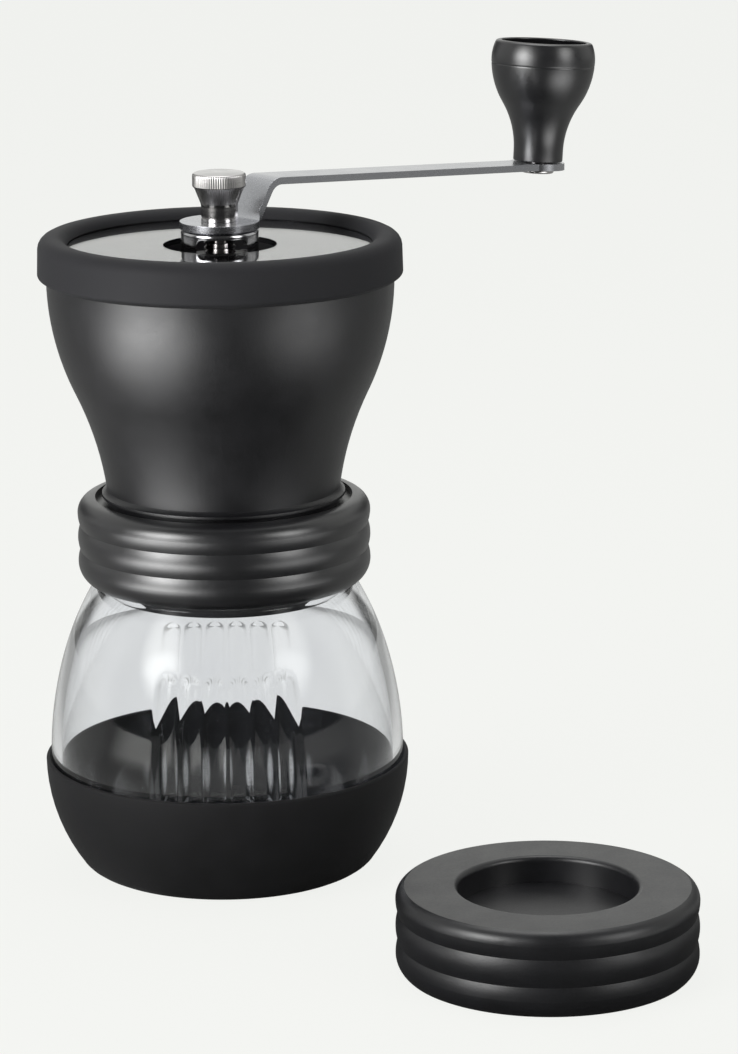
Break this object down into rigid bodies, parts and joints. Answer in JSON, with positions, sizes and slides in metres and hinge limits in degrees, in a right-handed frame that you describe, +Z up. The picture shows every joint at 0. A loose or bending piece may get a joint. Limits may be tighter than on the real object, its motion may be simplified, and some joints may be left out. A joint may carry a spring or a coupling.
{
  "type": "hand crank coffee grinder",
  "caption": "Hand crank coffee grinder: glass jar in a silicone boot, ribbed screw collar, black bean hopper with a clear lid, bent steel crank with a turning knob, loose storage lid.",
  "frame": {"origin": "on the grinder's axis, at the middle of the boot's flat underside", "axes": "+Z up along the shaft, -Y to the front, +X to the right; the crank points to the back right"},
  "size_m": [0.1584, 0.2142, 0.2024],
  "materials": {
    "glass": "clear",
    "silicone": "matte",
    "seal_rubber": "matte translucent",
    "black_plastic": "fine satin texture",
    "lid_rubber": "matte",
    "clear_plastic": "clear",
    "ceramic": "unglazed ceramic",
    "bush_plastic": "smooth",
    "steel": "polished",
    "screw_steel": "zinc plated"
  },
  "bodies": {
    "jar": {"glass_jar": "glass", "silicone_base": "silicone"},
    "gasket": {"jar_gasket": "seal_rubber"},
    "head": {"collar": "black_plastic", "burr_housing": "black_plastic", "hopper": "black_plastic", "collar_screws": "screw_steel", "ring_burr": "ceramic", "bearing_plate": "black_plastic", "plate_screws": "screw_steel", "lower_bush": "bush_plastic", "upper_bush": "bush_plastic", "thrust_washer": "steel"},
    "lid": {"lid_ring": "lid_rubber", "lid_plate": "clear_plastic"},
    "adjuster": {"adjusting_nut": "black_plastic", "burr_spring": "steel"},
    "drive": {"shaft": "steel", "nut_stopper": "steel", "cone_burr": "ceramic", "spring_washer": "steel", "burr_nut": "steel", "crank_arm": "steel", "knob_pin": "steel"},
    "thumb_nut": {"thumb_nut": "steel"},
    "knob": {"knob": "black_plastic"},
    "storage_lid": {"storage_lid": "black_plastic", "storage_lid_seal": "seal_rubber"}
  },
  "joints": [
    {"name": "head_rise", "type": "slide", "parent": "jar", "child": "gasket", "axis": [0, 0, 1], "range_m": [0, 0.00625]},
    {"name": "head_turn", "type": "hinge", "parent": "gasket", "child": "head", "pos_m": [0, 0, 0.09], "axis": [0, 0, 1], "range_deg": [0, 450]},
    {"name": "lid_lift", "type": "slide", "parent": "head", "child": "lid", "axis": [0, 0, 1], "range_m": [0, 0.007]},
    {"name": "crank_spin", "type": "hinge", "parent": "head", "child": "adjuster", "pos_m": [0, 0, 0.15], "axis": [0, 0, 1], "continuous": true},
    {"name": "grind_adjust", "type": "slide", "parent": "adjuster", "child": "drive", "axis": [0, 0, 1], "range_m": [-0.0008, 0.0004], "deforming": ["burr_spring"]},
    {"name": "thumb_nut_turn", "type": "hinge", "parent": "drive", "child": "thumb_nut", "pos_m": [0, 0, 0.167], "axis": [0, 0, 1], "range_deg": [0, 360]},
    {"name": "knob_spin", "type": "hinge", "parent": "drive", "child": "knob", "pos_m": [0.08522, 0.07461, 0.1693], "axis": [0.0558, 0.0489, 0.9972], "continuous": true},
    {"name": "storage_lid_lift", "type": "slide", "parent": "jar", "child": "storage_lid", "axis": [0, 0, 1], "range_m": [0, 0.08]}
  ],
  "couplings": [
    {"joint": "head_rise", "follows": "head_turn", "m_per_rad": 0.00079577}
  ]
}
